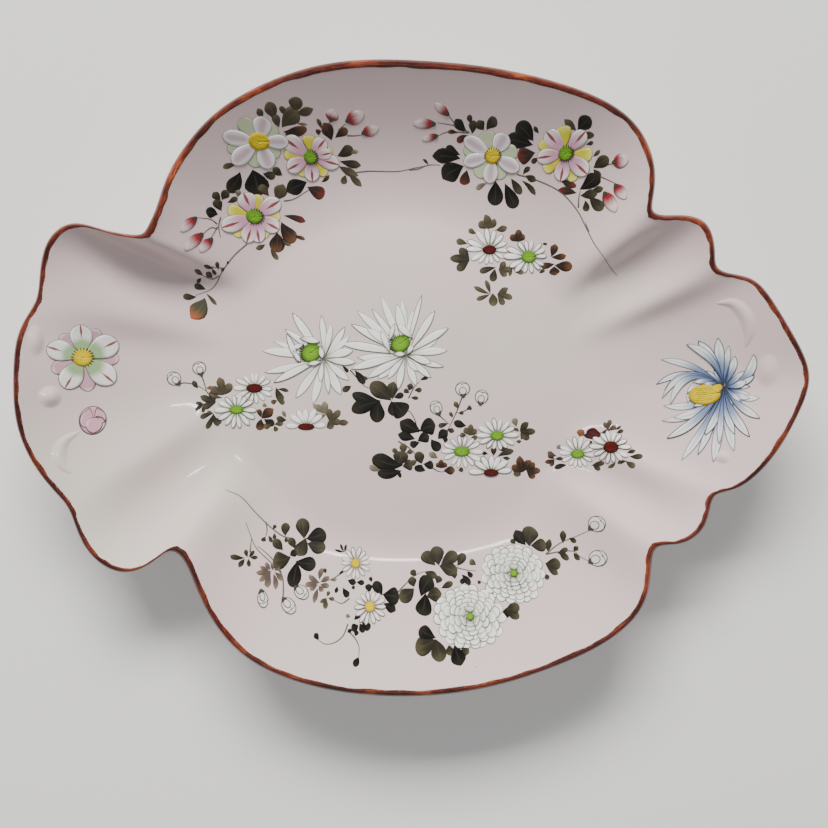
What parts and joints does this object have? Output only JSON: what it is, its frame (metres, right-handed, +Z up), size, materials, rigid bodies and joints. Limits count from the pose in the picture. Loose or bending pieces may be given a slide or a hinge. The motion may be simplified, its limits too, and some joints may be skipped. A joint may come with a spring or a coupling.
{
  "type": "china serving platter",
  "caption": "Large lobed porcelain serving platter with an oval well, curled flanges, winged ears, an iron-red lip and enamelled flower sprays.",
  "frame": {"origin": "middle of the platter's outline, on the plane the foot ring stands on", "axes": "+X along the long axis from the flower ear to the blue flower ear, +Y across, +Z up out of the dish"},
  "size_m": [0.3312, 0.2661, 0.0406],
  "materials": {
    "glaze": "glossy milky glaze with a faint lilac cast",
    "foot_porcelain": "glazed sides and a bare biscuit foot",
    "iron_red": "brushed iron-red enamel, streaky",
    "enamel_white": "raised white enamel, glossy",
    "enamel_pink": "pale pink enamel, glossy",
    "enamel_blue": "washed blue enamel, glossy",
    "enamel_yellow": "opaque yellow enamel",
    "enamel_green": "pale green enamel",
    "enamel_leaf": "dark olive enamel, glossy",
    "enamel_bud": "crimson and white enamel",
    "enamel_red": "deep red enamel",
    "enamel_ink": "thin brown-black line enamel"
  },
  "bodies": {
    "root": {"foot_ring": "foot_porcelain", "platter_body": "glaze", "rim_band": "iron_red", "east_bud_boss": "glaze", "east_ear_swirl_hearts": "enamel_yellow", "east_ear_swirl_petals": "enamel_blue", "east_scroll_curl": "glaze", "east_small_boss": "glaze", "north_east_buds": "enamel_bud", "north_east_leaves": "enamel_leaf", "north_east_open_hearts": "enamel_yellow", "north_east_open_petals": "enamel_white", "north_east_stems": "enamel_ink", "north_east_streaked_hearts": "enamel_green", "north_east_streaked_petals": "enamel_pink", "north_west_buds": "enamel_bud", "north_west_leaves": "enamel_leaf", "north_west_open_hearts": "enamel_yellow", "north_west_open_petals": "enamel_white", "north_west_stems": "enamel_ink", "north_west_streaked_hearts": "enamel_green", "north_west_streaked_petals": "enamel_pink", "south_east_buds": "enamel_white", "south_east_leaves": "enamel_leaf", "south_east_rosette_hearts": "enamel_green", "south_east_rosette_petals": "enamel_white", "south_east_stems": "enamel_ink", "south_west_buds": "enamel_white", "south_west_daisy_hearts": "enamel_yellow", "south_west_daisy_petals": "enamel_white", "south_west_leaves": "enamel_leaf", "south_west_stems": "enamel_ink", "well_east_daisy_hearts": "enamel_green", "well_east_daisy_petals": "enamel_white", "well_east_leaves": "enamel_leaf", "well_middle_spider_hearts": "enamel_green", "well_middle_spider_petals": "enamel_white", "well_north_daisy_hearts": "enamel_green", "well_north_daisy_petals": "enamel_white", "well_north_leaves": "enamel_leaf", "well_south_buds": "enamel_white", "well_south_daisy_hearts": "enamel_green", "well_south_daisy_petals": "enamel_white", "well_south_half_daisy_hearts": "enamel_red", "well_south_half_daisy_petals": "enamel_white", "well_south_leaves": "enamel_leaf", "well_west_buds": "enamel_white", "well_west_daisy_hearts": "enamel_green", "well_west_daisy_petals": "enamel_white", "well_west_half_daisy_hearts": "enamel_red", "well_west_half_daisy_petals": "enamel_white", "well_west_leaves": "enamel_leaf", "west_bud_boss": "glaze", "west_ear_buds": "enamel_pink", "west_ear_open_hearts": "enamel_yellow", "west_ear_open_petals": "enamel_white", "west_leaf_boss": "glaze", "west_stem_curl": "glaze"}
  },
  "joints": []
}
